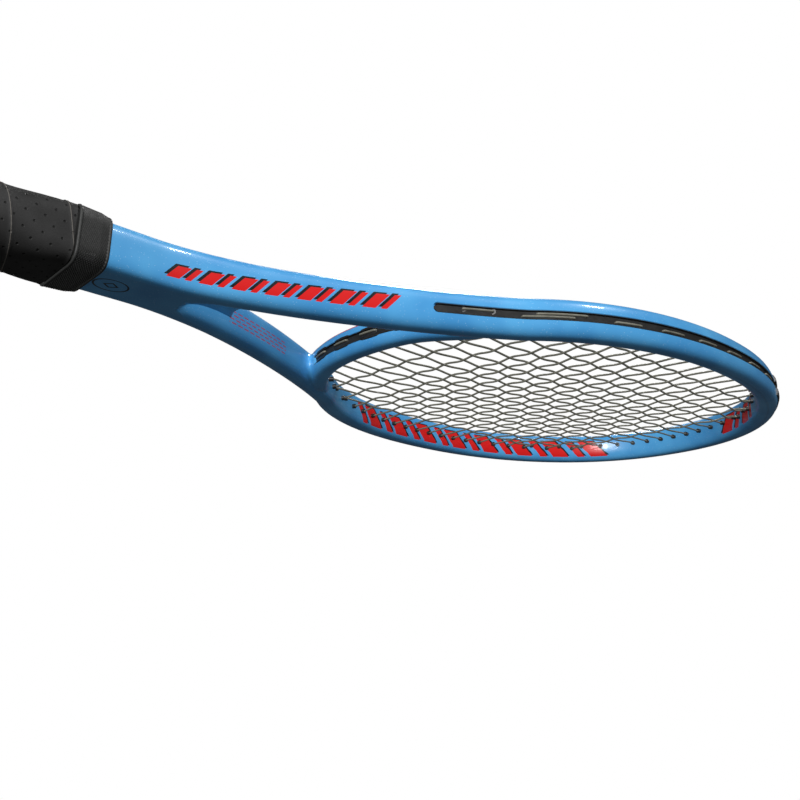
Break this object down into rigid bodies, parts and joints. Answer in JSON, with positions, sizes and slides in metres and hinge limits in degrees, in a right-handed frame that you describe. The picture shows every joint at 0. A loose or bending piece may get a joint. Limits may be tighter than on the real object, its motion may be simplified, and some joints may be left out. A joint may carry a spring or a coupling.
{
  "type": "tennis racket",
  "caption": "Strung tennis racket: oval tubular head with a woven string bed, open V throat with a bridge, and a faceted wrapped handle with a flared butt cap and a rubber collar.",
  "frame": {"origin": "below the middle of the racket's length, on the plane that it rests on when it lies flat", "axes": "+X from the butt to the tip, +Y across the head, +Z square to the string bed"},
  "size_m": [0.6849, 0.2619, 0.037],
  "materials": {
    "frame_paint": "glossy blue lacquer with a fine sparkle over a carbon tube",
    "trim_nylon": "black moulded nylon, satin",
    "string": "dark olive grey string, slightly glossy",
    "pallet_foam": "cream foam, matt",
    "cap_plastic": "black moulded plastic, fine grain",
    "staple_steel": "plain wire",
    "grip": "black cushioned grip tape with small dimples and grey-brown seams",
    "tape": "black adhesive tape",
    "collar_rubber": "dark grey rubber with fine raised diagonal ribs"
  },
  "bodies": {
    "racket": {"frame": "frame_paint", "grommet_strip_right": "trim_nylon", "grommet_strip_left": "trim_nylon", "bumper_guard": "trim_nylon", "throat_grommet_strip": "trim_nylon", "main_string": "string", "cross_string": "string", "pallet_upper": "pallet_foam", "pallet_lower": "pallet_foam", "handle_foam_plug": "pallet_foam", "butt_cap": "cap_plastic", "butt_staple_1": "staple_steel", "butt_staple_2": "staple_steel", "butt_staple_3": "staple_steel", "butt_staple_4": "staple_steel", "grip_start_staple": "staple_steel", "grip_wrap": "grip", "finishing_tape": "tape"},
    "butt_door": {"trap_door": "cap_plastic"},
    "collar": {"rubber_collar": "collar_rubber"}
  },
  "joints": [
    {"name": "butt_door_slide", "type": "slide", "parent": "racket", "child": "butt_door", "axis": [-1, 0, 0], "range_m": [0, 0.012]},
    {"name": "collar_slide", "type": "slide", "parent": "racket", "child": "collar", "axis": [1, 0, 0], "range_m": [0, 0.015]}
  ]
}
